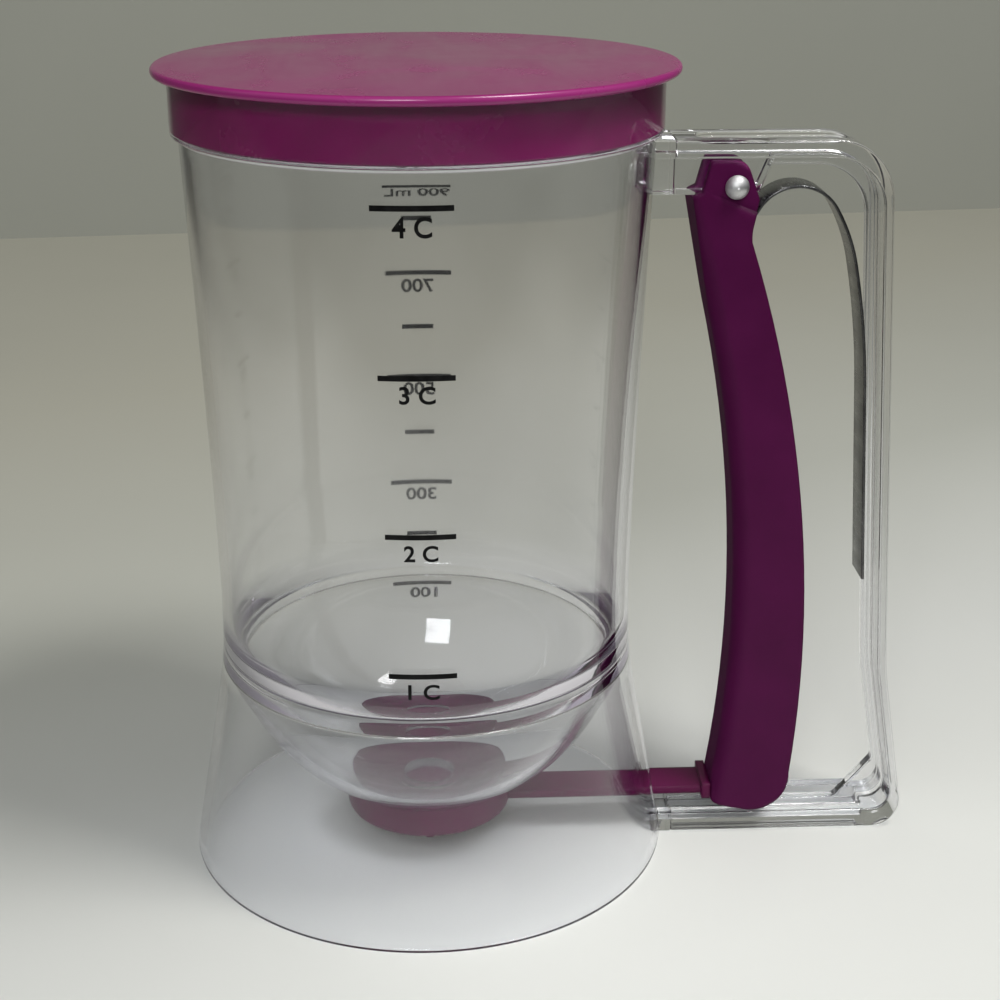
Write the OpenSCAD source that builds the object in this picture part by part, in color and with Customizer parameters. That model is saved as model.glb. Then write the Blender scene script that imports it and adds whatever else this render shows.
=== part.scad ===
// Pancake batter dispenser: a clear measuring jug with a round bowl for a bottom,
// standing on a flared foot. A lever in the clear handle swings a shutter cup away from
// the outlet in the bowl, and a leaf spring in the handle closes it again.
// The axis of the jug is Z, the foot stands on Z = 0 and the handle points along +X.

/* [Jug] */
// Height of the jug from its foot to the rim of its mouth
jug_h = 188; // [176:1:204]
// Outer radius of the flared foot
foot_r = 58.3; // [56:0.1:61]
// Outer radius of the waist
waist_r = 49; // [47:0.1:50.5]
// Height of the waist
waist_z = 68; // [64:0.5:72]
// Outer radius of the collar round the mouth
mouth_r = 54.4; // [53:0.1:55.4]
// Height of the collar, from the ledge to the rim
collar_h = 13.2; // [9:0.1:18]
// Width of the step under the collar
ledge_w = 1.7; // [1.2:0.1:2.4]
// Thickness of the collar's wall
collar_t = 1.4; // [1.2:0.1:1.8]
// Thickness of the clear walls
wall = 2.2; // [1.8:0.1:2.6]

/* [Bowl and outlet] */
// Height of the bowl's lowest point above the foot
bowl_lift = 11; // [10:0.1:13]
// Diameter of the outlet
outlet_d = 12.7; // [9:0.1:15]
// Diameter of the flat land round the outlet
land_d = 21; // [18:0.5:26]

/* [Lid] */
// Width of the lid's rim beyond the collar
lid_lip = 3.3; // [2:0.1:5]
// Thickness of the disc
lid_t = 2.1; // [1.6:0.1:3.2]
// Thickness of the ring that plugs the mouth
plug_t = 1.8; // [1.2:0.1:2.6]

/* [Handle] */
// Width of the handle
handle_w = 16.2; // [14.5:0.1:19]
// Distance from the jug's axis to the outer face of the grip, at its bend
reach = 112.4; // [110:0.2:120]
// Height of the bend in the grip
bend_z = 44; // [38:1:52]
// Thickness of the grip's strap
strap_t = 2.3; // [1.9:0.1:3]
// Thickness of the top bar
bar_t = 4; // [3.4:0.1:5]
// Height of the bottom bar
base_bar_h = 5; // [4:0.1:5.3]
// Thickness of the rib inside the handle
rib_t = 3; // [2:0.1:4]
// Height of the rib on the strap
rib_h = 2.5; // [1.8:0.1:3]

/* [Lever] */
// Distance from the jug's axis to the pivot
pivot_x = 70.2; // [69:0.1:72]
// Depth of the pivot under the top of the handle
pivot_drop = 10.3; // [10:0.1:12]
// Width of the lever
lever_w = 16; // [15:0.1:18]
// Thickness of the lever's walls
lever_wall = 2.2; // [1.8:0.1:2.6]
// Front to back size of the lever at its foot
lever_foot_d = 18.4; // [17:0.1:20]
// Front to back size of the lever under its head
lever_neck_d = 11.8; // [11:0.1:12.6]
// Radius of the long curve of the lever's front
front_r = 325; // [300:5:350]
// Radius of the lever's long edges
lever_edge_r = 4; // [1:0.1:4.4]

/* [Shutter] */
// Diameter of the shutter cup
cup_d = 40.6; // [36:0.2:44]
// Height of the cup's lower edge above the foot
cup_z = 7.3; // [6.6:0.1:8]
// Thickness of the cup's walls
cup_wall = 1.8; // [1.4:0.1:2.4]
// Width of the arm
arm_w = 10; // [8:0.1:10.6]
// Thickness of the arm
arm_t = 1.9; // [1.5:0.1:2.2]

/* [Spring and pin] */
// Width of the leaf spring
spring_w = 10; // [8:0.1:10.6]
// Thickness of the leaf spring
spring_t = 0.7; // [0.5:0.1:1]
// Height of the spring's lower end
spring_end_z = 67; // [60:1:80]
// Diameter of the pivot pin
pin_d = 3; // [2.5:0.1:4]
// Diameter of the pin's domed heads
pin_head_d = 5.5; // [5:0.1:6.5]

/* [Hidden] */
$fn = 96;

// Clearances
slip = 0.3;      // between moving curved faces
seat_gap = 0.05; // between pieces that are fixed to each other
pin_fit = 0.06;  // radial, pin in the lever's bores
tiny = 0.01;

// Jug
ledge_z = jug_h - collar_h;
neck_r = mouth_r - ledge_w;
lid_r = mouth_r + lid_lip;
ledge_t = 1;                 // thickness of the ledge, and drop of the chamfer under it
bowl_r = waist_r - 1.8;
bowl_z = bowl_lift + bowl_r;
bowl_in_r = bowl_r - wall;
web_z = bowl_z - 9;          // end of the crevice between the bowl and the foot's wall
brim_z = bowl_z + 1.8;       // where the inside of the wall turns into the bowl
brim_soft = 32.8;            // radius of the rounded shoulder there, and its centre
brim_c = [waist_r - wall + 0.4 - brim_soft, brim_z + 5.1];
land_z = bowl_z - sqrt(pow(bowl_in_r, 2) - pow(land_d / 2, 2));
foot_knee = 0.245;           // where the foot's flare starts, as a share of the waist's height
foot_soft = 0.08;            // roundness of that bend
swell = 1.35;                // how late the wall widens towards the mouth
wall_steps = 24;

// Handle
handle_top = ledge_z - 1.5;
joint_x = neck_r + 3.6;      // face where the handle's upper end meets the jug
foot_joint_x = foot_r + 2.2; // face where its lower end meets the foot
floor_gap = 0.3;
base_top = floor_gap + base_bar_h;
lean = 0.058;                // slope of the grip above its bend
kick = 0.165;                // slope of the grip below its bend
corner_r = 14;
heel_r = 7;
groove_w = handle_w - 7;
groove_z = floor_gap + 2;
dimple_w = 9;
dimple_depth = 1.2;

// Pivot and lug
pivot_z = handle_top - pivot_drop;
lug_w = lever_w - 2 * lever_wall - 2 * slip;
lug_bottom = pivot_z - 2.1;
lug_reach = 5.4;             // of the lug's lower edge beyond the pivot

// Lever
lever_in_w = lever_w - 2 * lever_wall;
head_x = pivot_x - 9.7;      // front of the lever's head, at the height of the notch
head_lean = 0.18;
head_top = handle_top - bar_t - 0.6;
notch_z = pivot_z - 2.2;
foot_clear = 0.5;
lever_foot_r = lever_foot_d / 2;
foot_c = [pivot_x + 10.4, base_top + foot_clear + lever_foot_r];
neck_drop = 12;              // steps down from the pivot to the neck, to the nape's end and on
nape_drop = 28.4;
turn_drop = 14;
foot_join = 1;               // overlap in height between the foot and what stands on it
back_z = pivot_z - neck_drop; // where the head's back meets the long curve
back_join = 5;               // overlap in height between the head and what is under it
back_x = head_line(back_z) + lever_neck_d;
foot_blend = 0.1;            // depth by which the back's long curve cuts across the round foot
neck_z = pivot_z - nape_drop; // where the straight head leaves the long curve
turn_z = neck_z - turn_drop;
toe_x = foot_c.x - lever_foot_r - 0.8; // front of the foot, where the arm comes out
toe_z = base_top + foot_clear + 2;
toe_soft = 1.2;
sole_r = lever_foot_r * 0.998; // distance from the foot's centre to its flat sole
front_c = meet([toe_x - 0.25, toe_z + 3.2], front_r, [head_line(neck_z), neck_z], front_r);
back_r = front_r - 9;
crown = [pivot_x + 2.2, head_top, 3.4]; // rounded corners of the head: x, z and radius
nape = [pivot_x + 5.4, pivot_z - 3, 3];
hollow = [back_x - 0.15, back_z + 1, 12];
brow_x = pivot_x - 5.8;      // front of the head at its top
notch_x = pivot_x - 7.6;     // and above its notch
back_c = meet(foot_c, back_r - lever_foot_r + 2 * foot_blend, [back_x, back_z], back_r);
recess_drop = 22;            // slope of the recess's lower edge, down towards the back
recess_step = 70;            // slope of the step there
recess_turn = 4.5;           // turn of the recessed face away from the side
shoulder_c = 4;              // the shoulder's centre is this far in front of and under the pivot
shoulder_r = 11.3;
shoulder_soft = 3.5;
seat_z = pivot_z - 14.6;     // shelf that the spring's end rests on
seat_x = pivot_x - 0.6;
seat_from = head_line(seat_z) + lever_wall / 2;

// Shutter
arm_z = cup_z + 2;
arm_mid = arm_z + arm_t / 2;
collar_x = toe_x - 2.2;
tenon_w = 7;
tenon_h = 2.4;
web_inset = 0.5;             // webs under the cup stop this far above its lower edge
slot_top = arm_z + arm_t + 0.9;

// Spring: it leaves its seat, arches over, and lies along the rib of the grip
spring_rise = 57;
arch_end = -58.5;
hip_end = -78;
hip_r = 42;
thigh_r = 200;
leg_end = -(90 - atan(lean));
spring_start = [seat_x + 0.9, seat_z + 0.5];
spring_lead = 10.5;

// Point that is ra from a and rb from b, on the side of the jug
function meet(a, ra, b, rb) = let (
    apart = norm(b - a),
    way = (b - a) / apart,
    along = (ra * ra - rb * rb + apart * apart) / (2 * apart)
) a + way * along + [-way.y, way.x] * sqrt(ra * ra - along * along);

// Front face of the lever's straight head at height z
function head_line(z) = head_x + (notch_z - z) * head_lean;

// Outer radius of the jug's wall at height z, up to the ledge
function knee(t) = (t - foot_knee) + sqrt(pow(t - foot_knee, 2) + pow(foot_soft, 2));
function flare(t) = (knee(t) - knee(0)) / (knee(1) - knee(0));
function wall_r(z) = z < waist_z
    ? waist_r + (foot_r - waist_r) * flare((waist_z - z) / waist_z)
    : waist_r + (neck_r - waist_r) * pow((z - waist_z) / (ledge_z - waist_z), swell);

// Outer face of the grip at height z
function grip_x(z) = z > bend_z ? reach - (z - bend_z) * lean : reach + (bend_z - z) * kick;

// Closed outline with rounded corners, from entries of [x, y, radius]
function unit(v) = v / norm(v);
function turned(v, a) = [v.x * cos(a) - v.y * sin(a), v.x * sin(a) + v.y * cos(a)];
function corner(a, p, b, steps) = p.z == 0 ? [[p.x, p.y]] : let (
    here = [p.x, p.y],
    u = unit([a.x, a.y] - here),
    v = unit([b.x, b.y] - here),
    half = acos(u * v) / 2,
    way = cross(u, v) < 0 ? 1 : -1,
    centre = here + unit(u + v) * p.z / sin(half),
    start = here + u * p.z / tan(half) - centre
) [for (k = [0 : steps]) centre + turned(start, way * (180 - 2 * half) * k / steps)];
function rounded(points, steps = 16) = let (n = len(points)) [
    for (i = [0 : n - 1]) each corner(points[(i + n - 1) % n], points[i], points[(i + 1) % n], steps)
];

// Extrudes an outline drawn in X and Z to a width centred on Y = 0
module across(width) {
    translate([0, width / 2, 0]) rotate([90, 0, 0]) linear_extrude(width) children();
}

// ---- Jug ----

module jug_section() {
    heights = [for (i = [0 : wall_steps]) ledge_z * i / wall_steps];
    lip_z = ledge_z + ledge_t;
    difference() {
        polygon(concat(
            [[0, 0]],
            [for (z = heights) [wall_r(z), z]],
            [[mouth_r, lip_z], [mouth_r, jug_h], [0, jug_h]]
        ));
        // Inside of the mouth and the wall, with the rounded shoulder over the bowl
        intersection() {
            polygon(concat(
                [[-1, 0]],
                [for (z = heights) [wall_r(z) - wall, z]],
                [[neck_r - wall, lip_z], [mouth_r - collar_t, lip_z]],
                [[mouth_r - collar_t, jug_h + 1], [-1, jug_h + 1]]
            ));
            union() {
                translate([-1, brim_z]) square([waist_r + neck_r, jug_h]);
                translate(brim_c) circle(brim_soft);
            }
        }
        // Inside of the bowl, with the land round the outlet
        difference() {
            translate([0, bowl_z]) circle(bowl_in_r);
            translate([-1, 0]) square([land_d / 2 + 1, land_z]);
            translate([-1, bowl_z]) square([waist_r, jug_h]);
        }
        translate([-1, 0]) square([outlet_d / 2 + 1, bowl_z]);
        // Space inside the foot, round the bowl
        difference() {
            polygon(concat(
                [[-1, -1], [wall_r(0) - wall, -1]],
                [for (z = heights) if (z < web_z) [wall_r(z) - wall, z]],
                [[wall_r(web_z) - wall, web_z], [-1, web_z]]
            ));
            translate([0, bowl_z]) circle(bowl_r);
        }
        translate([-2 * foot_r, -1]) square([2 * foot_r, jug_h + 2]);
    }
}

// Outline of the handle's upper end: the top bar with the lug under it
module upper_end_section() {
    translate([-handle_w / 2, handle_top - bar_t]) square([handle_w, bar_t]);
    translate([-lug_w / 2, lug_bottom]) square([lug_w, handle_top - lug_bottom - tiny]);
}

// Outline of the handle's lower end: a bar with a groove along its top
module lower_end_section() {
    difference() {
        translate([-handle_w / 2, floor_gap]) square([handle_w, base_bar_h]);
        translate([-groove_w / 2, groove_z]) square([groove_w, base_bar_h]);
    }
}

// Extrudes an outline drawn in Y and Z along X, from one distance to another
module along_x(from, to) {
    translate([from, 0, 0]) rotate([90, 0, 90]) linear_extrude(to - from) children();
}

module jug_body() color([0.93, 0.94, 0.95, 0.35]) {
    difference() {
        union() {
            rotate_extrude() jug_section();
            along_x(neck_r - 0.75 * wall, joint_x) upper_end_section();
            along_x(foot_r - 0.85 * wall, foot_joint_x) lower_end_section();
        }
        // Slot in the foot for the arm
        translate([foot_r - 3 * wall, -arm_w / 2 - 0.9, base_top])
            cube([5 * wall, arm_w + 1.8, slot_top - base_top]);
    }
}

// ---- Handle ----

// Everything inside the handle's outer edge
module handle_outline() {
    polygon(rounded([
        [joint_x, handle_top, 0],
        [joint_x, floor_gap, 0],
        [grip_x(floor_gap), floor_gap, heel_r],
        [grip_x(bend_z), bend_z, 90],
        [grip_x(handle_top), handle_top, corner_r]
    ]));
}

module strap_outline() {
    bar_bottom = handle_top - bar_t;
    difference() {
        handle_outline();
        polygon(rounded([
            [0, bar_bottom, 0],
            [0, base_top, 0],
            [grip_x(base_top) - strap_t, base_top, heel_r - strap_t],
            [grip_x(bend_z) - strap_t, bend_z, 90],
            [grip_x(bar_bottom) - strap_t, bar_bottom, corner_r - strap_t]
        ]));
        square([foot_joint_x, 2 * base_top]);
    }
}

// Rib along the inside of the strap, with a gusset in each corner
module rib_outline() {
    rib_bottom = handle_top - bar_t - rib_h;
    gusset = 11;
    difference() {
        intersection() {
            handle_outline();
            union() {
                translate([pivot_x + 5, 0]) square([reach, handle_top - bar_t / 2]);
                translate([foot_joint_x, 0]) square([reach, base_top]);
            }
        }
        polygon(rounded([
            [0, rib_bottom, 0],
            [0, base_top, 0],
            [grip_x(base_top) - strap_t - rib_h - gusset, base_top, 2],
            [grip_x(base_top + gusset) - strap_t - rib_h, base_top + gusset, 2],
            [grip_x(bend_z) - strap_t - rib_h, bend_z, 90],
            [grip_x(rib_bottom) - strap_t - rib_h, rib_bottom, corner_r - strap_t]
        ]));
    }
}

module lug_outline() {
    polygon(rounded([
        [joint_x, lug_bottom, 0],
        [pivot_x + lug_reach, lug_bottom, 1.5],
        [pivot_x + lug_reach + 4.2, handle_top - bar_t / 2, 0],
        [joint_x, handle_top - bar_t / 2, 0]
    ]));
}

module handle_frame() color([0.93, 0.94, 0.95, 0.35]) {
    dimple_from = joint_x + 10;
    dimple_to = grip_x(handle_top) - corner_r;
    difference() {
        union() {
            across(handle_w) strap_outline();
            across(rib_t) rib_outline();
            across(lug_w) lug_outline();
        }
        // Long dimple in the top bar
        translate([0, 0, handle_top - dimple_depth]) linear_extrude(2 * dimple_depth) {
            translate([dimple_from, -dimple_w / 2]) square([dimple_to - dimple_from, dimple_w]);
            for (x = [dimple_from, dimple_to]) translate([x, 0]) circle(d = dimple_w);
        }
        // Groove along the bottom bar, each side of the rib's gusset
        difference() {
            along_x(foot_joint_x - 1, reach - 3) translate([-groove_w / 2, groove_z])
                square([groove_w, base_bar_h]);
            across(rib_t) rib_outline();
        }
        // Bore for the pivot pin
        translate([pivot_x, 0, pivot_z]) rotate([90, 0, 0])
            cylinder(h = 2 * lug_w, d = pin_d + 2 * seat_gap, center = true);
    }
}

// ---- Lid ----

module lid() color([0.56, 0.07, 0.4]) {
    ring_r = mouth_r - collar_t - slip;
    ring_z = ledge_z + ledge_t + slip;
    edge_r = lid_t / 2;
    rotate_extrude() {
        translate([0, jug_h]) square([lid_r - edge_r, lid_t]);
        translate([lid_r - edge_r, jug_h + edge_r]) circle(edge_r);
        translate([ring_r - plug_t, ring_z]) square([plug_t, jug_h - ring_z + tiny]);
    }
}

// ---- Lever ----

// Turns a section drawn as [distance, Y] about the Y-wise axis through c = [x, z]
module about(c) {
    translate([c.x, 0, c.y]) rotate([90, 0, 0]) rotate_extrude($fn = 360) children();
}

// Everything behind the long front curve, with rounded edges that run out at the round
// foot and at the straight head
module behind_front() {
    about(front_c) {
        flat_w = lever_w - 2 * lever_edge_r;
        translate([front_r, -flat_w / 2]) square([3 * lever_foot_d, flat_w]);
        translate([front_r + lever_edge_r, -lever_w / 2]) square([3 * lever_foot_d, lever_w]);
        for (side = [-1, 1])
            translate([front_r + lever_edge_r, side * flat_w / 2]) circle(lever_edge_r, $fn = 32);
    }
}

// Outline of the lever's head, back and foot; between head and foot its front stands clear
module lever_outline() {
    toe = [toe_x, toe_z];
    to_sole = foot_c - toe;
    sole_turn = asin(sole_r / norm(to_sole));
    sole_end = toe + turned(unit(to_sole), -sole_turn) * norm(to_sole) * cos(sole_turn);
    intersection() {
        translate(back_c) circle(back_r, $fn = 360);
        polygon([
            [neck_r, foot_c.y], [reach, foot_c.y], [reach, back_z],
            [head_line(back_z), back_z], [head_line(turn_z), turn_z], [neck_r, turn_z]
        ]);
    }
    translate(foot_c) circle(lever_foot_r);
    polygon(rounded([
        [toe_x, foot_c.y + foot_join, 0],
        [toe_x, toe_z, toe_soft],
        [sole_end.x, sole_end.y, 0],
        [foot_c.x, foot_c.y + foot_join, 0]
    ]));
    polygon(rounded([
        [head_line(back_z), back_z, 0],
        [head_line(back_z) + lever_wall, back_z - back_join, 0],
        [back_x + 0.2 * back_join, back_z - back_join, 0],
        hollow,
        nape,
        crown,
        [brow_x, head_top, 1],
        [notch_x, notch_z + 1, 0],
        [head_line(notch_z), notch_z, 1]
    ]));
}

// Inside of the channel: closed towards the jug, open towards the grip, with a floor in
// the foot and no front above the notch, where the cheeks straddle the lug
module lever_hollow() {
    inner_r = lever_foot_r - lever_wall;
    difference() {
        polygon([
            front_c, foot_c, foot_c + [reach, 0], [2 * reach, jug_h],
            [head_line(jug_h) + lever_wall, jug_h], [head_line(turn_z) + lever_wall, turn_z]
        ]);
        translate(front_c) circle(front_r + lever_wall, $fn = 360);
    }
    translate(foot_c) circle(inner_r);
    translate(foot_c - [0, inner_r]) square([reach, inner_r + 1]);
    translate([0, lug_bottom - slip]) square([reach, jug_h]);
}

// What is cut from each side of the head: a shallow recess round the pin, which gets
// deeper towards the back and ends below in a sloping step, and a rounded shoulder
module head_trim() {
    block = [lever_w + 4, lever_w, 3 * lever_w];
    for (side = [0, 1]) mirror([0, side, 0]) translate([pivot_x - 7, -lever_w / 2, pivot_z - 0.8])
        intersection() {
            rotate([-recess_step, recess_drop, 0]) translate([-1, -lever_w / 2, 0]) cube(block);
            rotate([0, 0, recess_turn]) translate([-1, -lever_w, -block.z / 2]) cube(block);
        }
    difference() {
        translate([pivot_x - shoulder_c, -lever_w, nape.y]) cube(2 * [lever_w, lever_w, lever_w]);
        translate([pivot_x - shoulder_c, 0, pivot_z - shoulder_c]) rotate([90, 0, 0])
            rotate_extrude() shoulder_section();
    }
}

// Half of a disc with a rounded rim, wider than the lever inside the rim
module shoulder_section() {
    flat_w = lever_w - 2 * shoulder_soft;
    translate([0, -flat_w / 2]) square([shoulder_r, flat_w]);
    translate([0, -lever_w / 2 - 1]) square([shoulder_r - shoulder_soft, lever_w + 2]);
    for (y = [-flat_w / 2, flat_w / 2]) translate([shoulder_r - shoulder_soft, y]) circle(shoulder_soft);
}

module lever() color([0.42, 0.04, 0.31]) {
    difference() {
        union() {
            difference() {
                intersection() {
                    across(lever_w) lever_outline();
                    behind_front();
                }
                across(lever_in_w) lever_hollow();
            }
            // Seat for the spring: a shelf and a back stop between the cheeks
            across(lever_in_w + lever_wall) {
                translate([seat_from, seat_z - 2]) square([seat_x + 3 - seat_from, 2]);
                translate([seat_x - 2, seat_z - tiny]) square([2, 4]);
            }
        }
        head_trim();
        // Mortise for the arm's tenon
        translate([foot_c.x - lever_foot_r - 1, -tenon_w / 2 - seat_gap,
                arm_mid - tenon_h / 2 - seat_gap])
            cube([lever_foot_r, tenon_w + 2 * seat_gap, tenon_h + 2 * seat_gap]);
        // Bores for the pivot pin
        translate([pivot_x, 0, pivot_z]) rotate([90, 0, 0])
            cylinder(h = 2 * lever_w, d = pin_d + 2 * pin_fit, center = true);
    }
}

// ---- Shutter cup and its arm ----

module cup_section() {
    r = cup_d / 2;
    face_r = bowl_r + slip;
    difference() {
        union() {
            translate([0, cup_z]) square([r - cup_wall, bowl_z - cup_z]);
            translate([0, cup_z + cup_wall]) square([r, bowl_z - cup_z]);
            translate([r - cup_wall, cup_z + cup_wall]) circle(cup_wall, $fn = 32);
        }
        translate([0, bowl_z]) circle(face_r);
        // Hollow under the face
        difference() {
            translate([-1, 0]) square([r - cup_wall + 1, bowl_z]);
            translate([0, bowl_z]) circle(face_r + cup_wall);
        }
        translate([-r, 0]) square([r, 2 * bowl_z]);
    }
}

module valve_arm() color([0.56, 0.07, 0.4]) {
    arm_from = cup_d / 2 - cup_wall;
    rotate_extrude() cup_section();
    translate([arm_from, -arm_w / 2, arm_z]) cube([collar_x + tiny - arm_from, arm_w, arm_t]);
    // Crossed webs under the cup's face
    intersection() {
        rotate_extrude() difference() {
            translate([0, cup_z + web_inset]) square([cup_d / 2 - tiny, bowl_z / 2]);
            translate([0, bowl_z]) circle(bowl_r + slip + cup_wall / 2);
        }
        for (a = [0, 90]) rotate([0, 0, a])
            translate([-cup_d, -cup_wall / 2, 0]) cube([2 * cup_d, cup_wall, bowl_z / 2]);
    }
    // Collar against the lever's foot, with a tenon that plugs into it
    translate([collar_x, -arm_w / 2 - 1.2, arm_z - 0.9])
        cube([toe_x - seat_gap - collar_x, arm_w + 2.4, arm_t + 2.1]);
    translate([collar_x + 1, -tenon_w / 2, arm_mid - tenon_h / 2])
        cube([lever_wall + 4.5, tenon_w, tenon_h]);
}

// ---- Pivot pin ----

module pivot_pin() color("silver") {
    head_h = 1.9;
    dome_r = (pow(pin_head_d / 2, 2) + head_h * head_h) / (2 * head_h);
    face = lever_w / 2 + 0.15;
    translate([pivot_x, 0, pivot_z]) rotate([90, 0, 0]) {
        cylinder(h = 2 * face + 0.4, d = pin_d, center = true);
        for (side = [0, 1]) mirror([0, 0, side]) intersection() {
            translate([0, 0, face + head_h - dome_r]) sphere(dome_r);
            translate([0, 0, face]) cylinder(h = head_h + 1, d = pin_head_d);
        }
    }
}

// ---- Leaf spring ----

// Step of a clockwise arc of radius r from one heading to another
function arc_step(r, from, to) = r * [sin(from) - sin(to), cos(to) - cos(from)];

// The arch's radius follows from where the straight leg has to lie along the rib
leg_gap = slip + spring_t / 2;
lead_step = spring_lead * [cos(spring_rise), sin(spring_rise)];
hip_step = arc_step(hip_r, arch_end, hip_end);
thigh_step = arc_step(thigh_r, hip_end, leg_end);
fixed_steps = spring_start + lead_step + hip_step + thigh_step;
arch_unit = arc_step(1, spring_rise, arch_end);
leg_line = reach + bend_z * lean - strap_t - rib_h - leg_gap;
arch_r = (leg_line - lean * fixed_steps.y - fixed_steps.x) / (arch_unit.x + lean * arch_unit.y);
leg_start = fixed_steps + arch_r * arch_unit;
leg_len = (leg_start.y - spring_end_z) / cos(atan(lean));

// Points and headings along the spring: [point, heading]
function arc_run(start, r, from, to, steps) = [
    for (k = [1 : steps]) let (h = from + (to - from) * k / steps) [start + arc_step(r, from, h), h]
];
spring_line = let (
    arch_at = spring_start + lead_step,
    hip_at = arch_at + arch_r * arch_unit,
    thigh_at = hip_at + hip_step
) concat(
    [[spring_start, spring_rise], [arch_at, spring_rise]],
    arc_run(arch_at, arch_r, spring_rise, arch_end, 14),
    arc_run(hip_at, hip_r, arch_end, hip_end, 4),
    arc_run(thigh_at, thigh_r, hip_end, leg_end, 3),
    [[leg_start + leg_len * [cos(leg_end), sin(leg_end)], leg_end]]
);
function beside(p, d) = p[0] + d * [-sin(p[1]), cos(p[1])];

module leaf_spring() color([0.6, 0.6, 0.6]) {
    last = len(spring_line) - 1;
    across(spring_w) polygon(concat(
        [for (i = [0 : last]) beside(spring_line[i], spring_t / 2)],
        [for (i = [last : -1 : 0]) beside(spring_line[i], -spring_t / 2)]
    ));
}

jug_body();
handle_frame();
lid();
lever();
valve_arm();
pivot_pin();
leaf_spring();
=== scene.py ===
import math

import bmesh
import bpy
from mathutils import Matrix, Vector


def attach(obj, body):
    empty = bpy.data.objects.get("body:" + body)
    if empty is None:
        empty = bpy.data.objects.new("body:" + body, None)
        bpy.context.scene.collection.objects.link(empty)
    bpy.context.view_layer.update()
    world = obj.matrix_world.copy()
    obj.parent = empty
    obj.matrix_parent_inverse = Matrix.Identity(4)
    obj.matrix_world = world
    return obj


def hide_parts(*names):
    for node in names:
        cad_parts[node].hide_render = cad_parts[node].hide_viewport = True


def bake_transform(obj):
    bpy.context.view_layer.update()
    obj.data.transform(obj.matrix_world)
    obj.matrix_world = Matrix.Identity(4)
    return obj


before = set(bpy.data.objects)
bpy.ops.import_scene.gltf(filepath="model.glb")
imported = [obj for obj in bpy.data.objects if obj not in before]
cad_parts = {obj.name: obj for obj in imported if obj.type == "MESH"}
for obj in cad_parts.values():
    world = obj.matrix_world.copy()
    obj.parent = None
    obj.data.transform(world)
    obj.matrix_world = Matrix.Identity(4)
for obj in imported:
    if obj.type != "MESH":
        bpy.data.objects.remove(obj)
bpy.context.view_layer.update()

# All sizes below are written in millimetres and turned into metres by MM
MM = 0.001

# ---- Sizes that the scene shares with the solids ----
JUG_H, FOOT_R, WAIST_R, WAIST_Z = 188.0, 58.3, 49.0, 68.0
MOUTH_R, COLLAR_H, LEDGE_W, WALL = 54.4, 13.2, 1.7, 2.2
COLLAR_T, LEDGE_T, SLIP = 1.4, 1.0, 0.3
BOWL_LIFT, OUTLET_D, LAND_D = 11.0, 12.7, 21.0
LID_R = MOUTH_R + 3.3
LEDGE_Z = JUG_H - COLLAR_H
NECK_R = MOUTH_R - LEDGE_W
BOWL_R = WAIST_R - 1.8
BOWL_Z = BOWL_LIFT + BOWL_R
BOWL_IN_R = BOWL_R - WALL
WEB_Z = BOWL_Z - 9
BRIM_Z, BRIM_R = BOWL_Z + 1.8, 32.8
BRIM_C = (WAIST_R - WALL + 0.4 - BRIM_R, BRIM_Z + 5.1)
LAND_Z = BOWL_Z - math.sqrt(BOWL_IN_R ** 2 - (LAND_D / 2) ** 2)
JOINT_X = NECK_R + 3.6
FOOT_JOINT_X = FOOT_R + 2.2
HANDLE_TOP = LEDGE_Z - 1.5
PIVOT_X, PIVOT_Z = 70.2, HANDLE_TOP - 10.3


def knee(t):
    """Soft corner between the foot's flare and the wall, for wall_r."""
    return (t - 0.245) + math.hypot(t - 0.245, 0.08)


def wall_r(z):
    """Outer radius of the jug's wall at height z, up to the ledge."""
    if z < WAIST_Z:
        share = (knee((WAIST_Z - z) / WAIST_Z) - knee(0)) / (knee(1) - knee(0))
        return WAIST_R + (FOOT_R - WAIST_R) * share
    return WAIST_R + (NECK_R - WAIST_R) * ((z - WAIST_Z) / (LEDGE_Z - WAIST_Z)) ** 1.35


# ---- Materials ----
def srgb(r, g, b):
    """Linear colour of an 8-bit sRGB one."""
    def lin(c):
        c /= 255
        return c / 12.92 if c <= 0.04045 else ((c + 0.055) / 1.055) ** 2.4
    return (lin(r), lin(g), lin(b), 1.0)


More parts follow.
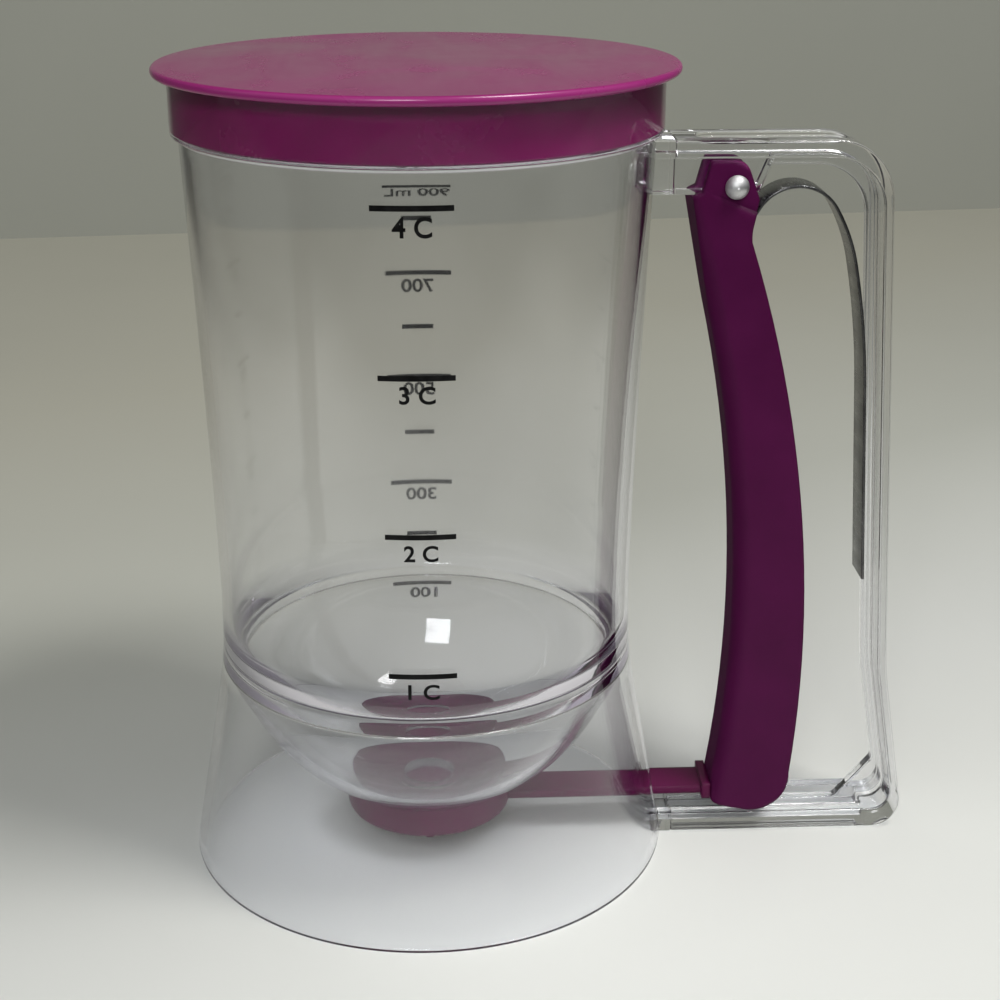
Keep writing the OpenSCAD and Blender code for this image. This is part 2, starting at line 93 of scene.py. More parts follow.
class Nodes:
    """A material's node tree with short calls to add and link nodes."""

    def __init__(self, name):
        self.mat = bpy.data.materials.new(name)
        self.mat.use_nodes = True
        self.tree = self.mat.node_tree
        self.bsdf = self.tree.nodes["Principled BSDF"]
        self.out = self.tree.nodes["Material Output"]
        self.coord = self.add("ShaderNodeTexCoord").outputs["Object"]

    def add(self, kind, **props):
        node = self.tree.nodes.new(kind)
        for key, value in props.items():
            setattr(node, key, value)
        return node

    def link(self, a, b):
        self.tree.links.new(a, b)

    def noise(self, scale, detail=4.0, rough=0.5, stretch=None, distortion=0.0):
        node = self.add("ShaderNodeTexNoise")
        node.inputs["Scale"].default_value = scale
        node.inputs["Detail"].default_value = detail
        node.inputs["Roughness"].default_value = rough
        node.inputs["Distortion"].default_value = distortion
        if stretch:
            mapping = self.add("ShaderNodeMapping")
            mapping.inputs["Scale"].default_value = stretch
            self.link(self.coord, mapping.inputs["Vector"])
            self.link(mapping.outputs["Vector"], node.inputs["Vector"])
        else:
            self.link(self.coord, node.inputs["Vector"])
        return node.outputs["Fac"]

    def ramp(self, source, stops):
        """Colour ramp with stops of (place, colour)."""
        node = self.add("ShaderNodeValToRGB")
        elements = node.color_ramp.elements
        while len(elements) < len(stops):
            elements.new(0.5)
        for element, (place, colour) in zip(elements, stops):
            element.position = place
            element.color = colour if len(colour) == 4 else (*colour, 1.0)
        self.link(source, node.inputs["Fac"])
        return node.outputs["Color"]

    def span(self, source, low, high, start=0.3, end=0.7):
        """Maps start to end in the source onto low to high."""
        node = self.add("ShaderNodeMapRange")
        for key, value in (("From Min", start), ("From Max", end),
                           ("To Min", low), ("To Max", high)):
            node.inputs[key].default_value = value
        self.link(source, node.inputs["Value"])
        return node.outputs["Result"]

    def times(self, a, b):
        node = self.add("ShaderNodeMath", operation="MULTIPLY")
        self.link(a, node.inputs[0])
        self.link(b, node.inputs[1])
        return node.outputs[0]

    def mixed(self, factor, a, b):
        """Colour a where the factor is 0 and the fixed colour b where it is 1."""
        node = self.add("ShaderNodeMix", data_type="RGBA")
        self.link(factor, node.inputs["Factor"])
        self.link(a, node.inputs[6])
        node.inputs[7].default_value = b
        return node.outputs[2]

    def axis(self, source, letter):
        node = self.add("ShaderNodeSeparateXYZ")
        self.link(source, node.inputs[0])
        return node.outputs[letter]

    def radius(self):
        """Distance from the Z axis in metres."""
        flat = self.add("ShaderNodeVectorMath", operation="MULTIPLY")
        flat.inputs[1].default_value = (1, 1, 0)
        self.link(self.coord, flat.inputs[0])
        length = self.add("ShaderNodeVectorMath", operation="LENGTH")
        self.link(flat.outputs[0], length.inputs[0])
        return length.outputs["Value"]

    def soft_edges(self):
        """Normal that is rounded over the edges."""
        node = self.add("ShaderNodeBevel", samples=6)
        node.inputs["Radius"].default_value = 1.3 * MM
        return node.outputs[0]

    def bump(self, source, strength, distance, under=None):
        node = self.add("ShaderNodeBump")
        node.inputs["Strength"].default_value = strength
        node.inputs["Distance"].default_value = distance
        self.link(source, node.inputs["Height"])
        if under:
            self.link(under, node.inputs["Normal"])
        return node.outputs["Normal"]

    def set(self, **values):
        for key, value in values.items():
            socket = self.bsdf.inputs[key.replace("_", " ")]
            if hasattr(value, "is_linked"):
                self.link(value, socket)
            else:
                socket.default_value = value
        return self


def grey(v):
    return (v, v, v)


def clear_plastic(name, clear, let_out, ledge_highlight_clear=1.0):
    """Clear plastic with faint ripples.

    clear is how much light passes a surface, let_out how much trapped light it lets out, and
    the last argument how clear the ledge under the collar is left, where it is partly frosted to
    paint a pale highlight line.
    """
    m = Nodes(name)
    haze = m.noise(38, 5, 0.6)
    ripple = m.noise(16, 2, 0.4, (1, 1, 0.35))
    scuffs = m.noise(900, 2, 0.6, (1, 1, 0.08))
    tint = m.ramp(haze, [(0.35, (clear, clear, clear * 1.012)),
                         (0.7, (clear * 0.983, clear * 0.984, clear * 0.997))])
    wavy = m.bump(ripple, 0.05, 0.001)
    transmission = 1.0
    if ledge_highlight_clear < 1:
        # Painted highlight: the ledge is made partly frosted between two heights and outside a
        # radius, so it shows as a pale line where a lamp's highlight on its rounded edge would be
        height = m.axis(m.coord, "Z")
        above = m.span(height, 0.0, 1.0, (LEDGE_Z - 0.2) * MM, (LEDGE_Z + 0.1) * MM)
        below = m.span(height, 0.0, 1.0, (LEDGE_Z + 0.8) * MM, (LEDGE_Z + 0.5) * MM)
        outside = m.span(m.radius(), 0.0, 1.0, (NECK_R - 0.3) * MM, (NECK_R - 0.1) * MM)
        ledge_highlight = m.times(m.times(above, below), outside)
        transmission = m.span(ledge_highlight, 1.0, ledge_highlight_clear, 0.0, 1.0)
    m.set(Base_Color=tint, Roughness=m.span(haze, 0.012, 0.05), IOR=1.5,
          Transmission_Weight=transmission,
          Normal=m.bump(scuffs, 0.012, 0.0002, wavy))
    # Lets the lamps' light through to what stands behind or inside it, and lets out the
    # light that would be reflected inside the thick parts again and again
    path = m.add("ShaderNodeLightPath")
    trapped = m.add("ShaderNodeMath", operation="GREATER_THAN")
    trapped.inputs[1].default_value = 2.5
    m.link(path.outputs["Glossy Depth"], trapped.inputs[0])
    shader = m.bsdf.outputs["BSDF"]
    for fac, colour in ((trapped.outputs[0], (let_out, let_out * 0.97, let_out * 1.04, 1)),
                        (path.outputs["Is Shadow Ray"], (0.6, 0.61, 0.635, 1))):
        passing = m.add("ShaderNodeBsdfTransparent")
        passing.inputs["Color"].default_value = colour
        mix = m.add("ShaderNodeMixShader")
        m.link(fac, mix.inputs["Fac"])
        m.link(shader, mix.inputs[1])
        m.link(passing.outputs["BSDF"], mix.inputs[2])
        shader = mix.outputs["Shader"]
    m.link(shader, m.out.inputs["Surface"])
    return m.mat


def arm_plastic(low, high):
    """Satin plastic with colours from low to high."""
    m = Nodes("arm_look")
    cloud = m.noise(55, 6, 0.62)
    fine = m.noise(2600, 2, 0.5)
    m.set(Base_Color=m.ramp(cloud, [(0.32, low), (0.68, high)]), Roughness=m.span(cloud, 0.3, 0.42),
          IOR=1.49, Specular_IOR_Level=0.2, Normal=m.bump(fine, 0.05, 0.0001, m.soft_edges()))
    return m.mat


def lever_plastic(low, high, painted_highlight):
    """Satin plastic, matt on the side where the fingers go, with a painted highlight: its colour is
    brighter along its thin edges and other faces that point along +X, towards the key lamp.
    """
    m = Nodes("lever_look")
    cloud = m.noise(55, 6, 0.62)
    fine = m.noise(2600, 2, 0.5)
    facing = m.axis(m.add("ShaderNodeTexCoord").outputs["Normal"], "X")
    rough = m.add("ShaderNodeMath", operation="MULTIPLY_ADD")
    rough.inputs[1].default_value = 0.4
    m.link(m.span(facing, 0.0, 1.0, -0.15, -0.6), rough.inputs[0])
    m.link(m.span(cloud, 0.34, 0.46), rough.inputs[2])
    body = m.ramp(cloud, [(0.32, low), (0.68, high)])
    # Painted highlight: faces turned towards +X are mixed towards the brighter highlight colour
    m.set(Base_Color=m.mixed(m.span(facing, 0.0, 1.0, 0.25, 0.8), body, painted_highlight),
          Roughness=rough.outputs[0], Specular_IOR_Level=0.12,
          Normal=m.bump(fine, 0.05, 0.0001, m.soft_edges()))
    return m.mat


def lid_plastic():
    """Satin lid with cloudy handling marks, and a paler rim edge that is a painted highlight."""
    m = Nodes("lid_look")
    cloud = m.noise(28, 7, 0.62, distortion=0.6)
    wipe = m.noise(70, 4, 0.6, (1, 0.22, 1), 0.4)
    fine = m.noise(2400, 2, 0.5)
    body = m.ramp(cloud, [(0.3, srgb(124, 10, 86)), (0.55, srgb(131, 14, 92)),
                          (0.75, srgb(139, 22, 100))])
    # Painted highlight: a paler band along the rim's outer edge, where its rounding would reflect
    # the lamps
    painted_highlight = m.span(m.radius(), 0.0, 1.0, (LID_R - 0.8) * MM, (LID_R - 0.2) * MM)
    m.set(Base_Color=m.mixed(painted_highlight, body, srgb(150, 38, 112)), IOR=1.49,
          Roughness=m.span(m.times(cloud, wipe), 0.16, 0.34, 0.12, 0.42),
          Normal=m.bump(fine, 0.06, 0.0001))
    return m.mat


def steel(name, low, high, rough):
    """Steel with drawn streaks and greys from low to high."""
    m = Nodes(name)
    streak = m.noise(240, 4, 0.6, (1, 0.1, 1))
    spots = m.noise(120, 4, 0.6)
    m.set(Base_Color=m.ramp(spots, [(0.35, grey(low)), (0.7, grey(high))]), Metallic=1.0,
          Roughness=m.span(streak, rough * 0.7, rough * 1.4), Normal=m.bump(streak, 0.08, 0.0001))
    return m.mat


def ink():
    """Black print, slightly worn."""
    m = Nodes("ink_look")
    worn = m.noise(420, 5, 0.65)
    m.set(Base_Color=m.ramp(worn, [(0.4, grey(0.003)), (0.75, grey(0.012))]),
          Roughness=m.span(worn, 0.38, 0.6), Specular_IOR_Level=0.1)
    return m.mat


# The last number sets how far the ledge is frosted into a painted highlight
CLEAR = clear_plastic("clear_plastic_look", 0.968, 0.8, 0.2)
HANDLE = clear_plastic("handle_plastic_look", 0.93, 0.3)
LID = lid_plastic()
# The third colour is the lever's painted highlight
LEVER = lever_plastic(srgb(69, 6, 54), srgb(77, 9, 61), srgb(112, 16, 84))
ARM = arm_plastic(srgb(78, 7, 54), srgb(88, 11, 62))
PIN = steel("pin_look", 0.6, 0.7, 0.48)
SPRING = steel("spring_look", 0.06, 0.15, 0.26)
INK = ink()


# ---- Building ----
def add_object(name, mesh, mat, body, sharp=30, replaces=()):
    obj = bpy.data.objects.new(name, mesh)
    bpy.context.scene.collection.objects.link(obj)
    mesh.materials.clear()
    mesh.materials.append(mat)
    for poly in mesh.polygons:
        poly.use_smooth = True
    mesh.set_sharp_from_angle(angle=math.radians(sharp))
    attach(obj, body)
    if replaces:
        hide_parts(*replaces)
    return obj


def from_bmesh(name, bm):
    bmesh.ops.recalc_face_normals(bm, faces=bm.faces)
    mesh = bpy.data.meshes.new(name)
    bm.to_mesh(mesh)
    bm.free()
    return mesh


def fillet(points, steps=5):
    """Closed outline with rounded corners from entries of (x, y) or (x, y, radius)."""
    out = []
    count = len(points)
    for i, p in enumerate(points):
        here = Vector(p[:2])
        if len(p) < 3 or p[2] == 0:
            out.append(tuple(here))
            continue
        u = (Vector(points[i - 1][:2]) - here).normalized()
        v = (Vector(points[(i + 1) % count][:2]) - here).normalized()
        half = u.angle(v) / 2
        centre = here + (u + v).normalized() * p[2] / math.sin(half)
        a = here + u * p[2] / math.tan(half) - centre
        b = here + v * p[2] / math.tan(half) - centre
        sweep = a.angle(b)
        turn = 1 if a.x * b.y - a.y * b.x > 0 else -1
        for k in range(steps + 1):
            t = turn * sweep * k / steps
            out.append((centre.x + a.x * math.cos(t) - a.y * math.sin(t),
                        centre.y + a.x * math.sin(t) + a.y * math.cos(t)))
    return out


def lathe(name, outline, segments=256):
    """Turns a closed outline of (radius, z) in millimetres about the Z axis."""
    bm = bmesh.new()
    rings = []
    for r, z in outline:
        if r < 1e-6:
            rings.append([bm.verts.new((0, 0, z * MM))] * segments)
            continue
        rings.append([bm.verts.new((r * MM * math.cos(a), r * MM * math.sin(a), z * MM))
                      for a in (2 * math.pi * k / segments for k in range(segments))])
    for i in range(len(rings)):
        a, b = rings[i - 1], rings[i]
        if a[0] is a[1] and b[0] is b[1]:
            continue
        for k in range(segments):
            n = (k + 1) % segments
            corners = []
            for vert in (a[k], a[n], b[n], b[k]):
                if vert not in corners:
                    corners.append(vert)
            bm.faces.new(corners)
    return from_bmesh(name, bm)


def boolean(mesh, other, operation):
    """Applies a boolean of another mesh to mesh and returns the new mesh."""
    a = bpy.data.objects.new("tmp_a", mesh)
    b = bpy.data.objects.new("tmp_b", other)
    for obj in (a, b):
        bpy.context.scene.collection.objects.link(obj)
    mod = a.modifiers.new("cut", "BOOLEAN")
    mod.operation = operation
    mod.object = b
    mod.solver = "EXACT"
    graph = bpy.context.evaluated_depsgraph_get()
    result = bpy.data.meshes.new_from_object(a.evaluated_get(graph))
    for obj in (a, b):
        bpy.data.objects.remove(obj)
    return result


def dressed(name, node, body, mat, width, sharp=30):
    """A copy of a CAD node, with its edges rounded by width millimetres, which replaces it."""
    bm = bmesh.new()
    bm.from_mesh(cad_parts[node].data)
    bmesh.ops.remove_doubles(bm, verts=bm.verts, dist=0.002 * MM)
    bmesh.ops.dissolve_limit(bm, angle_limit=math.radians(0.2), verts=bm.verts, edges=bm.edges)
    mesh = from_bmesh(name, bm)
    obj = add_object(name, mesh, mat, body, sharp, (node,))
    mod = obj.modifiers.new("edges", "BEVEL")
    mod.width = width * MM
    mod.segments = 3
    mod.limit_method = "ANGLE"
    mod.angle_limit = math.radians(sharp)
    obj.modifiers.new("flat_faces", "WEIGHTED_NORMAL").keep_sharp = True


# ---- Jug ----
def jug_outline():
    """Closed section of the jug with its bowl, as (radius, z) or (radius, z, rounding)."""
    lip_z = LEDGE_Z + LEDGE_T
    outer = [(wall_r(LEDGE_Z * i / 48), LEDGE_Z * i / 48) for i in range(1, 48)]
    foot_in = [(wall_r(z) - WALL, z) for z in (WEB_Z * i / 14 for i in range(13, 0, -1))]
    inner = [(wall_r(z) - WALL, z)
             for z in (LEDGE_Z - 1 - (LEDGE_Z - 1 - BRIM_Z) * i / 48 for i in range(48))]
    # The rounded shoulder over the bowl, down to where it meets the bowl
    to_brim = Vector((BRIM_C[0], BRIM_C[1] - BOWL_Z))
    along = (BOWL_IN_R ** 2 - BRIM_R ** 2 + to_brim.length_squared) / (2 * to_brim.length)
    way = to_brim.normalized()
    meet = way * along + Vector((way.y, -way.x)) * math.sqrt(BOWL_IN_R ** 2 - along ** 2)
    turn_0 = math.asin((BRIM_Z - BRIM_C[1]) / BRIM_R)
    turn_1 = math.asin((meet.y + BOWL_Z - BRIM_C[1]) / BRIM_R)
    brim = [(BRIM_C[0] + BRIM_R * math.cos(a), BRIM_C[1] + BRIM_R * math.sin(a))
            for a in (turn_0 + (turn_1 - turn_0) * i / 14 for i in range(14))]
    rim_a = math.acos(-meet.y / BOWL_IN_R)
    land_half = math.asin(LAND_D / 2 / BOWL_IN_R)
    bowl_in = [(BOWL_IN_R * math.sin(a), BOWL_Z - BOWL_IN_R * math.cos(a))
               for a in (rim_a + (land_half - rim_a) * i / 40 for i in range(1, 40))]
    web_a = math.acos((BOWL_Z - WEB_Z) / BOWL_R)
    out_a = math.asin(OUTLET_D / 2 / BOWL_R)
    bowl_out = [(BOWL_R * math.sin(a), BOWL_Z - BOWL_R * math.cos(a))
                for a in (out_a + (web_a - out_a) * i / 36 for i in range(1, 36))]
    web = (BOWL_R * math.sin(web_a), WEB_Z, 0.45)
    rim_z = meet.y + BOWL_Z
    return fillet(
        [(FOOT_R, 0, 0.7)] + outer
        + [(NECK_R, LEDGE_Z, 0.4), (MOUTH_R, lip_z, 0.4), (MOUTH_R, JUG_H, 0.4),
           (MOUTH_R - COLLAR_T, JUG_H, 0.4), (MOUTH_R - COLLAR_T, lip_z, 0.3),
           (NECK_R - WALL, lip_z, 0.5)]
        + inner + brim
        + [(meet.x + 0.12, rim_z + 0.4), (meet.x - 0.15, rim_z + 0.08, 0.15),
           (meet.x - 0.05, rim_z - 0.4)]
        + bowl_in
        + [(LAND_D / 2, LAND_Z, 0.4), (OUTLET_D / 2, LAND_Z, 0.5),
           (OUTLET_D / 2, BOWL_Z - BOWL_R * math.cos(out_a), 0.3)]
        + bowl_out + [web, (wall_r(WEB_Z) - WALL, WEB_Z, 0.45)]
        + foot_in + [(FOOT_R - WALL, 0, 0.7)])


def box_mesh(name, low, high):
    bm = bmesh.new()
    bmesh.ops.create_cube(bm, size=1)
    for v in bm.verts:
        v.co = Vector([(a + b) / 2 + c * (b - a) for a, b, c in zip(low, high, v.co)]) * MM
    return from_bmesh(name, bm)


def bar_x(name, section, from_x, to_x):
    """Extrudes a section of (y, z) along X."""
    bm = bmesh.new()
    face = bm.faces.new([bm.verts.new((from_x * MM, y * MM, z * MM)) for y, z in section])
    moved = bmesh.ops.extrude_face_region(bm, geom=[face])
    verts = [g for g in moved["geom"] if isinstance(g, bmesh.types.BMVert)]
    bmesh.ops.translate(bm, verts=verts, vec=((to_x - from_x) * MM, 0, 0))
    return from_bmesh(name, bm)


HANDLE_W, BAR_T, BASE_H, FLOOR_GAP = 16.2, 4.0, 5.0, 0.3
LUG_W, LUG_BOTTOM = 11.0, PIVOT_Z - 2.1
GROOVE_W, GROOVE_Z = HANDLE_W - 7, FLOOR_GAP + 2
ARM_W, ARM_Z, ARM_T = 10.0, 9.3, 1.9
SLOT_ROOM = 0.9  # room round the arm in the foot's slot
SEAM = 0.04      # gap drawn between the jug's pads and the handle

half = HANDLE_W / 2
upper_section = fillet([
    (-half, HANDLE_TOP - BAR_T, 0.4), (-half, HANDLE_TOP, 0.4), (half, HANDLE_TOP, 0.4),
    (half, HANDLE_TOP - BAR_T, 0.4), (LUG_W / 2, HANDLE_TOP - BAR_T), (LUG_W / 2, LUG_BOTTOM, 0.4),
    (-LUG_W / 2, LUG_BOTTOM, 0.4), (-LUG_W / 2, HANDLE_TOP - BAR_T)], 3)
lower_section = fillet([
    (-half, FLOOR_GAP, 0.4), (-half, FLOOR_GAP + BASE_H, 0.4),
    (-GROOVE_W / 2, FLOOR_GAP + BASE_H, 0.3), (-GROOVE_W / 2, GROOVE_Z, 0.3),
    (GROOVE_W / 2, GROOVE_Z, 0.3), (GROOVE_W / 2, FLOOR_GAP + BASE_H, 0.3),
    (half, FLOOR_GAP + BASE_H, 0.4), (half, FLOOR_GAP, 0.4)], 3)

jug_mesh = lathe("jug_look", jug_outline())
for section, start, end in ((upper_section, NECK_R - 0.75 * WALL, JOINT_X),
                            (lower_section, FOOT_R - 0.85 * WALL, FOOT_JOINT_X)):
    jug_mesh = boolean(jug_mesh, bar_x("pad", section, start, end - SEAM), "UNION")
slot_half = ARM_W / 2 + SLOT_ROOM
slot = box_mesh("slot", (FOOT_R - 3 * WALL, -slot_half, FLOOR_GAP + BASE_H),
                (FOOT_R + 2 * WALL, slot_half, ARM_Z + ARM_T + SLOT_ROOM))
jug_mesh = boolean(jug_mesh, slot, "DIFFERENCE")
add_object("jug_clear", jug_mesh, CLEAR, "jug", 28, ("jug_body",))

dressed("handle_clear", "handle_frame", "jug", HANDLE, 0.8)

# ---- Lid ----
LID_T, PLUG_T = 2.1, 1.8
ring_r = MOUTH_R - COLLAR_T + 0.03      # pressed against the collar, so it shows to its edge
ring_z = LEDGE_Z + LEDGE_T + SLIP
disc_z = JUG_H + 0.02
lid_outline = fillet([
    (0, disc_z), (ring_r - PLUG_T, disc_z, 0.8), (ring_r - PLUG_T, ring_z, 0.5),
    (ring_r, ring_z, 0.7), (ring_r, disc_z, 0.3), (LID_R, disc_z, 1.0),
    (LID_R, JUG_H + LID_T, 1.0), (0, JUG_H + LID_T)], 7)
lid_mesh = lathe("lid_look", lid_outline)
add_object("lid_disc", lid_mesh, LID, "lid", 40, ("lid",))

# ---- Lever, arm and pin ----
dressed("lever_channel", "lever", "lever", LEVER, 0.35)
dressed("shutter_arm", "valve_arm", "lever", ARM, 0.3)
dressed("pivot_rivet", "pivot_pin", "jug", PIN, 0.12, 40)

# ---- Leaf spring, bent by the lever at its upper end ----
REACH, BEND_Z, LEAN = 112.4, 44.0, 0.058
STRAP_T, RIB_H = 2.3, 2.5
SPRING_W, SPRING_T, SPRING_END_Z = 10.0, 0.7, 67.0
SPRING_SEAT = Vector((PIVOT_X + 0.3, PIVOT_Z - 14.1))
SEAT_L, SHOULDER_R, THIGH_R = 10.5, 42, 200


def arc_step(r, a, b):
    """Way along an arc of radius r whose heading turns from a to b degrees."""
    a, b = math.radians(a), math.radians(b)
    return Vector((r * (math.sin(a) - math.sin(b)), r * (math.cos(b) - math.cos(a))))


def spring_line():
    """Points and headings along the spring, in the plane Y = 0."""
    rise, arch_end, shoulder_end = 57, -58.5, -78
    leg_end = -(90 - math.degrees(math.atan(LEAN)))
    lead = SEAT_L * Vector((math.cos(math.radians(rise)), math.sin(math.radians(rise))))
    shoulder = arc_step(SHOULDER_R, arch_end, shoulder_end)
    thigh = arc_step(THIGH_R, shoulder_end, leg_end)
    fixed = SPRING_SEAT + lead + shoulder + thigh
    way = arc_step(1, rise, arch_end)
    line = REACH + BEND_Z * LEAN - STRAP_T - RIB_H - SLIP - SPRING_T / 2
    arch_r = (line - LEAN * fixed.y - fixed.x) / (way.x + LEAN * way.y)
    points = [(SPRING_SEAT, rise)]
    at = SPRING_SEAT + lead
    points.append((at, rise))
    for r, a, b, steps in ((arch_r, rise, arch_end, 40), (SHOULDER_R, arch_end, shoulder_end, 12),
                           (THIGH_R, shoulder_end, leg_end, 10)):
        for k in range(1, steps + 1):
            heading = a + (b - a) * k / steps
            points.append((at + arc_step(r, a, heading), heading))
        at = points[-1][0]
    length = (at.y - SPRING_END_Z) / math.cos(math.atan(LEAN))
    tip = Vector((math.cos(math.radians(leg_end)), math.sin(math.radians(leg_end))))
    for k in range(1, 21):
        points.append((at + tip * length * k / 20, leg_end))
    return points


def spring_mesh():
    """A strip with rounded rolled edges, swept along its line."""
    half_w, half_t = SPRING_W / 2, SPRING_T / 2
    section = fillet([(-half_w, -half_t, 0.25), (half_w, -half_t, 0.25),
                      (half_w, half_t, 0.25), (-half_w, half_t, 0.25)], 3)
    bm = bmesh.new()
    rings = []
    for p, heading in spring_line():
        h = math.radians(heading)
        side = Vector((-math.sin(h), math.cos(h)))
        rings.append([bm.verts.new(((p.x + side.x * t) * MM, y * MM, (p.y + side.y * t) * MM))
                      for y, t in section])
    for a, b in zip(rings, rings[1:]):
        for k in range(len(section)):
            n = (k + 1) % len(section)
            bm.faces.new((a[k], a[n], b[n], b[k]))
    bm.faces.new(rings[0])
    bm.faces.new(rings[-1])
    return from_bmesh("spring_look", bm)


spring = bpy.data.objects.new("spring_leaf", spring_mesh())
bpy.context.scene.collection.objects.link(spring)
spring.data.materials.append(SPRING)
for poly in spring.data.polygons:
    poly.use_smooth = True
spring.data.set_sharp_from_angle(angle=math.radians(40))
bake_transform(spring)
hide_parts("leaf_spring")

# ---- Printed scales ----
INK_LIFT = 0.05


def on_wall(u, z, rear):
    """Place on the jug's outer wall for a print at u across and height z."""
    r = wall_r(z) + INK_LIFT
    a = u / r
    x, y = r * math.sin(a), -r * math.cos(a)
    return Vector((-x, -y, z)) * MM if rear else Vector((x, y, z)) * MM


def printed_bar(bm, u0, u1, z0, z1, rear):
    steps = max(2, int(abs(u1 - u0) / 0.8))
    low = [bm.verts.new(on_wall(u0 + (u1 - u0) * k / steps, z0, rear)) for k in range(steps + 1)]
    high = [bm.verts.new(on_wall(u0 + (u1 - u0) * k / steps, z1, rear)) for k in range(steps + 1)]
    for k in range(steps):
        bm.faces.new((low[k], low[k + 1], high[k + 1], high[k]))


def printed_text(bm, text, u, top, width, height, rear):
    """Bold text with its top at height top, centred on u, on the front or the rear of the wall."""
    curve = bpy.data.curves.new("print", "FONT")
    curve.body = text
    curve.resolution_u = 6
    curve.offset = 0.022      # makes the strokes bolder
    obj = bpy.data.objects.new("print", curve)
    bpy.context.scene.collection.objects.link(obj)
    mesh = bpy.data.meshes.new_from_object(obj.evaluated_get(bpy.context.evaluated_depsgraph_get()))
    bpy.data.objects.remove(obj)
    xs = [v.co.x for v in mesh.vertices]
    ys = [v.co.y for v in mesh.vertices]
    wide, tall = width / (max(xs) - min(xs)), height / (max(ys) - min(ys))
    piece = bmesh.new()
    piece.from_mesh(mesh)
    for v in piece.verts:
        v.co = on_wall(u + (v.co.x - (max(xs) + min(xs)) / 2) * wide,
                       top - (max(ys) - v.co.y) * tall, rear)
    piece.to_mesh(mesh)
    piece.free()
    bm.from_mesh(mesh)


# Marks: (text, height of the bar's middle, its ends, text's middle, top, width and height)
FRONT = [("4 C", 167.8, -10.0, 6.8, -1.6, 166.1, 8.0, 4.3),
         ("3 C", 132.7, -9.2, 6.8, -1.1, 131.0, 7.5, 3.9),
         ("2 C", 97.5, -8.5, 6.6, -0.9, 95.6, 7.3, 3.8),
         ("1 C", 64.7, -8.4, 6.5, -0.8, 62.8, 6.9, 3.7)]
REAR = [("900 mL", 154.0, -8.1, 9.8, 0.75, 153.0, 17.1, 2.5),
        ("700", 131.1, -7.9, 9.5, 1.0, 129.5, 8.5, 3.5),
        ("500", 103.9, -7.6, 9.4, 1.0, 102.3, 8.4, 3.5),
        ("300", 75.0, -7.5, 9.2, 0.9, 73.4, 8.2, 3.4),
        ("100", 45.8, -7.2, 9.4, 0.7, 44.4, 7.6, 3.3)]
TICKS = [(145.0, -2.9, 4.9), (117.1, -3.0, 5.2), (88.8, -2.9, 5.0), (60.4, -3.1, 5.0)]
for name, marks, rear, thick in (("scale_front", FRONT, False, 1.2),
                                 ("scale_rear", REAR, True, 1.15)):
    ink_bm = bmesh.new()
    for text, z, u0, u1, u, top, width, height in marks:
        printed_bar(ink_bm, u0, u1, z - thick / 2, z + thick / 2, rear)
        printed_text(ink_bm, text, u, top, width, height, rear)
    if rear:
        for z, u0, u1 in TICKS:
            printed_bar(ink_bm, u0, u1, z - thick / 2, z + thick / 2, rear)
    add_object(name, from_bmesh(name, ink_bm), INK, "jug")


# ---- Floor and backdrop ----
def stage_material(name, colour, rough, painted_shade_fades):
    """Plain matt sheet with painted shade: its tone fades along some directions where less light
    would fall.

    Each fade is (direction, offset, stops): the stops give the tone at places of
    0.5 + offset + the distance in metres along the direction.
    """
    m = Nodes(name)
    cloud = m.noise(3.5, 4, 0.5)
    low, high = ([c * share for c in colour[:3]] for share in (0.98, 1.02))
    tone = m.ramp(cloud, [(0.35, low), (0.65, high)])
    for way, offset, stops in painted_shade_fades:
        dot = m.add("ShaderNodeVectorMath", operation="DOT_PRODUCT")
        dot.inputs[1].default_value = way
        m.link(m.coord, dot.inputs[0])
        place = m.add("ShaderNodeMath", operation="ADD")
        place.inputs[1].default_value = 0.5 + offset
        m.link(dot.outputs["Value"], place.inputs[0])
        mix = m.add("ShaderNodeMix", data_type="RGBA", blend_type="MULTIPLY")
        mix.inputs["Factor"].default_value = 1.0
        m.link(tone, mix.inputs[6])
        m.link(m.ramp(place.outputs[0], stops), mix.inputs[7])
        tone = mix.outputs[2]
    m.set(Base_Color=tone, Roughness=rough, Specular_IOR_Level=0.2)
    return m.mat


def stage_sheet(name, ends, mat, turn=0.0):
    """A sheet along X between two ends of (y, z) in metres; turn is its slope in Y."""
    bm = bmesh.new()
    (y0, z0), (y1, z1) = ends
    bm.faces.new([bm.verts.new((side * STAGE_HALF_W, y + side * turn * STAGE_HALF_W, z))
                  for side, y, z in ((-1, y0, z0), (1, y0, z0), (1, y1, z1), (-1, y1, z1))])
    mesh = from_bmesh(name, bm)
    obj = bpy.data.objects.new(name, mesh)
    bpy.context.scene.collection.objects.link(obj)
    mesh.materials.append(mat)


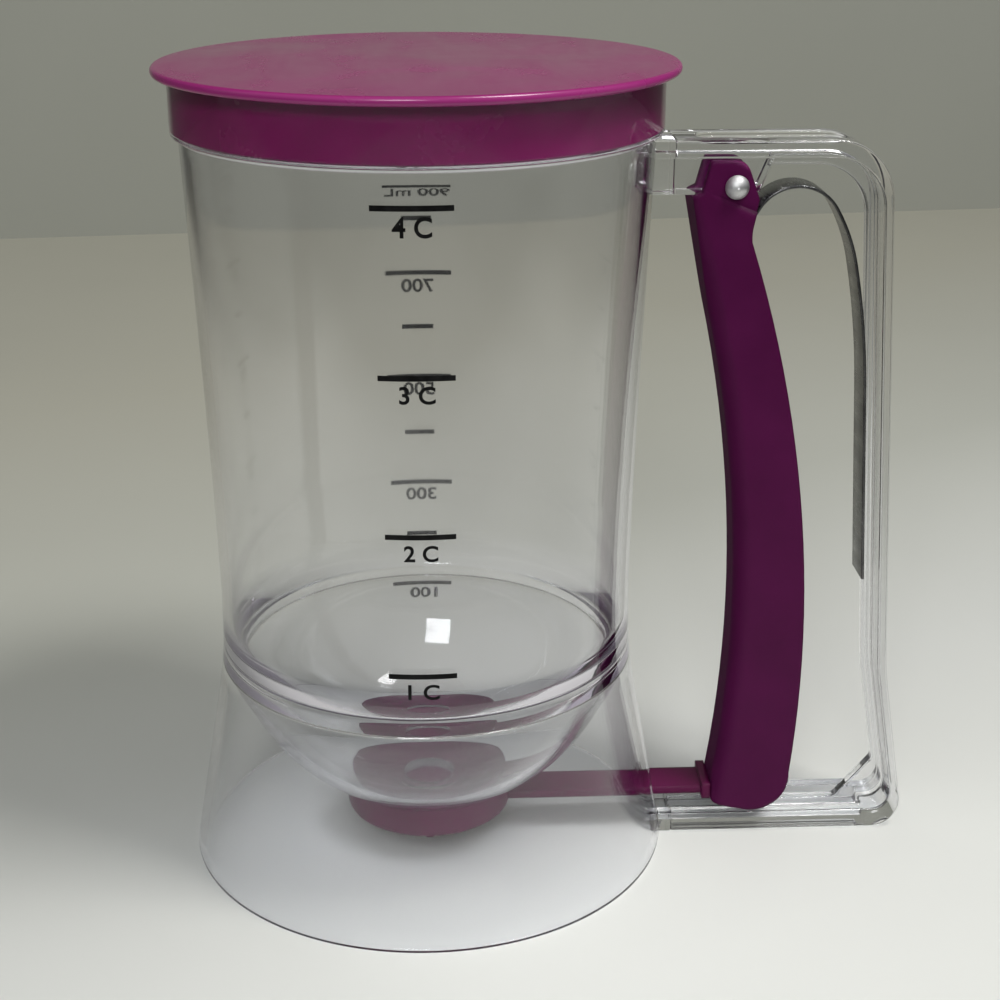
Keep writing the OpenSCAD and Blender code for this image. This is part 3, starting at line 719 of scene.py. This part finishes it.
STAGE_HALF_W, FLOOR_FRONT, WALL_Y, WALL_TOP = 3, -3, 0.732, 2.2
FULL = grey(1.0)
# Painted shade: the floor and wall go darker beyond both sides
PAINTED_SHADE_SIDES = ((1, 0, 0), -0.04, [(0.0, grey(0.42)), (0.12, FULL), (0.88, FULL), (1.0, grey(0.42))])
# Painted shade: the floor goes darker towards its front edge
PAINTED_SHADE_FRONT = ((0, 1, 0), 0.0, [(0.1, grey(0.26)), (0.3, FULL)])
# Painted shade: a painted falloff of the light darkens the floor, and turns it slightly yellow,
# towards the back left
PAINTED_SHADE_BACK = ((-0.6, 1, 0), 0.0, [(0.4, FULL), (0.51, grey(0.86)), (0.68, (0.66, 0.66, 0.62)),
                                   (0.95, (0.63, 0.61, 0.54))])
stage_sheet("stage_floor", [(FLOOR_FRONT, 0), (WALL_Y + 0.5, 0)],
            stage_material("floor_look", srgb(228, 229, 224), 0.8, [PAINTED_SHADE_SIDES, PAINTED_SHADE_FRONT, PAINTED_SHADE_BACK]))
stage_sheet("stage_wall", [(WALL_Y, 0), (WALL_Y, WALL_TOP)],
            stage_material("wall_look", srgb(162, 163, 154), 0.9, [PAINTED_SHADE_SIDES]), turn=0.1)

world = bpy.data.worlds.new("world")
bpy.context.scene.world = world
world.use_nodes = True
# A room that is bright overhead and darker beyond the table's edge
sky = world.node_tree.nodes
split = sky.new("ShaderNodeSeparateXYZ")
height = sky.new("ShaderNodeValToRGB")
for element, (place, level) in zip(height.color_ramp.elements, ((0.5, 0.15), (0.68, 0.45))):
    element.position = place
    element.color = (level * 0.98, level * 0.99, level, 1)
half_z = sky.new("ShaderNodeMath")
half_z.operation = "MULTIPLY_ADD"
half_z.inputs[1].default_value = 0.5
half_z.inputs[2].default_value = 0.5
for a, b in ((sky.new("ShaderNodeTexCoord").outputs["Generated"], split.inputs["Vector"]),
             (split.outputs["Z"], half_z.inputs[0]),
             (half_z.outputs[0], height.inputs["Fac"]),
             (height.outputs["Color"], sky["Background"].inputs["Color"])):
    world.node_tree.links.new(a, b)


def area_light(name, place, aim, size, power, colour):
    data = bpy.data.lights.new(name, "AREA")
    data.energy = power
    data.size = size
    data.color = colour
    obj = bpy.data.objects.new(name, data)
    bpy.context.scene.collection.objects.link(obj)
    obj.location = place
    obj.rotation_euler = (Vector(aim) - Vector(place)).to_track_quat("-Z", "Y").to_euler()


area_light("key", (0.38, -0.22, 0.93), (0, 0, 0.04), 0.24, 5.3, (1.0, 0.99, 0.97))
area_light("window", (-0.21, -1.33, 1.0), (0, 0, 0.06), 0.45, 7.5, (0.97, 0.99, 1.0))

# ---- Camera, fitted to the photograph ----
camera_data = bpy.data.cameras.new("camera")
camera_data.lens = 65.06
camera_data.sensor_width = 36
camera_data.clip_start = 0.01
camera = bpy.data.objects.new("camera", camera_data)
bpy.context.scene.collection.objects.link(camera)
camera.location = (0.000189, -0.403748, 0.238023)
camera.rotation_euler = (math.radians(69.527), math.radians(0.05), math.radians(-2.542))
bpy.context.scene.camera = camera
bpy.context.scene.view_settings.view_transform = "Standard"
